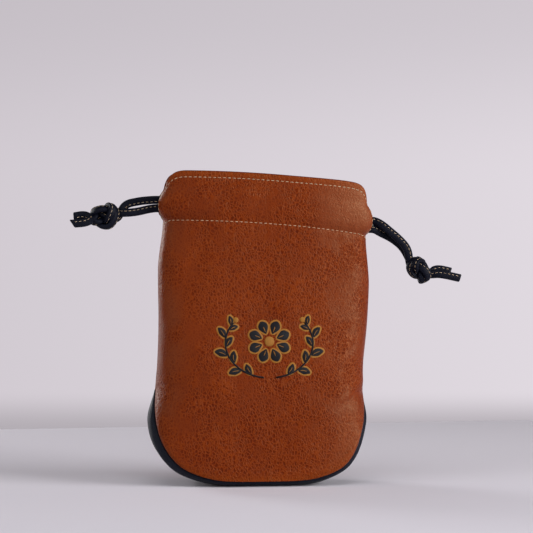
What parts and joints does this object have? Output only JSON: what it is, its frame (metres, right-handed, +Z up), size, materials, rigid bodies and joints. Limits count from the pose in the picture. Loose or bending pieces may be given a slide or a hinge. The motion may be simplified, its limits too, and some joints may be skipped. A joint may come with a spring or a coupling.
{
  "type": "drawstring pouch",
  "caption": "Soft leather drawstring pouch with a contrasting pointed gusset base, a slit collar and knotted flat-lace drawcords that draw the mouth shut.",
  "frame": {"origin": "on the ground under the middle of the pouch, in its flat base", "axes": "+X to the wearer's right as seen from the front, +Y to the back, +Z up"},
  "size_m": [0.2408, 0.0526, 0.1894],
  "materials": {
    "tan_leather": "cognac pebble-grain leather, soft sheen",
    "navy_leather": "navy pebble-grain leather, soft sheen",
    "facing_suede": "split leather facing, matt",
    "lining_cloth": "plain woven lining, matt",
    "lace": "folded navy leather lace sewn along its middle"
  },
  "bodies": {
    "pouch": {"front_panel": "tan_leather", "back_panel": "tan_leather", "gusset": "navy_leather", "front_lining": "lining_cloth", "back_lining": "lining_cloth", "base_lining": "lining_cloth", "left_cord_loop": "lace", "right_cord_loop": "lace"},
    "front_collar": {"front_casing": "tan_leather", "front_facing": "facing_suede", "left_cord_front_run": "lace", "right_cord_front_run": "lace"},
    "back_collar": {"back_casing": "tan_leather", "back_facing": "facing_suede", "left_cord_back_run": "lace", "right_cord_back_run": "lace"},
    "left_pull": {"left_front_lead": "lace", "left_back_lead": "lace"},
    "left_ends": {"left_front_stem": "lace", "left_back_stem": "lace", "left_knot": "lace", "left_front_tail": "lace", "left_back_tail": "lace"},
    "right_pull": {"right_front_lead": "lace", "right_back_lead": "lace"},
    "right_ends": {"right_front_stem": "lace", "right_back_stem": "lace", "right_knot": "lace", "right_front_tail": "lace", "right_back_tail": "lace"}
  },
  "joints": [
    {"name": "left_cord_pull", "type": "slide", "parent": "pouch", "child": "left_pull", "axis": [-1, 0, 0], "range_m": [0, 0.015], "deforming": ["left_front_lead", "left_back_lead"]},
    {"name": "right_cord_pull", "type": "slide", "parent": "pouch", "child": "right_pull", "axis": [1, 0, 0], "range_m": [0, 0.015], "deforming": ["right_front_lead", "right_back_lead"]},
    {"name": "front_collar_lean", "type": "hinge", "parent": "pouch", "child": "front_collar", "pos_m": [0.0015, -0.005, 0.155], "axis": [-0.9973, 0, 0.0732], "range_deg": [0, 12], "deforming": ["left_cord_loop", "right_cord_loop"]},
    {"name": "back_collar_lean", "type": "hinge", "parent": "pouch", "child": "back_collar", "pos_m": [0.0015, 0.005, 0.155], "axis": [0.9973, 0, -0.0732], "range_deg": [0, 12]},
    {"name": "left_cord_swing", "type": "hinge", "parent": "left_pull", "child": "left_ends", "pos_m": [-0.06429, 0, 0.1695], "axis": [0, 1, 0], "range_deg": [-55, 50]},
    {"name": "right_cord_swing", "type": "hinge", "parent": "right_pull", "child": "right_ends", "pos_m": [0.06761, 0, 0.1572], "axis": [0, 1, 0], "range_deg": [-75, 12]}
  ],
  "couplings": [
    {"joint": "right_cord_pull", "follows": "left_cord_pull", "ratio": 1},
    {"joint": "front_collar_lean", "follows": "left_cord_pull", "rad_per_m": 13.963},
    {"joint": "back_collar_lean", "follows": "left_cord_pull", "rad_per_m": 13.963}
  ]
}
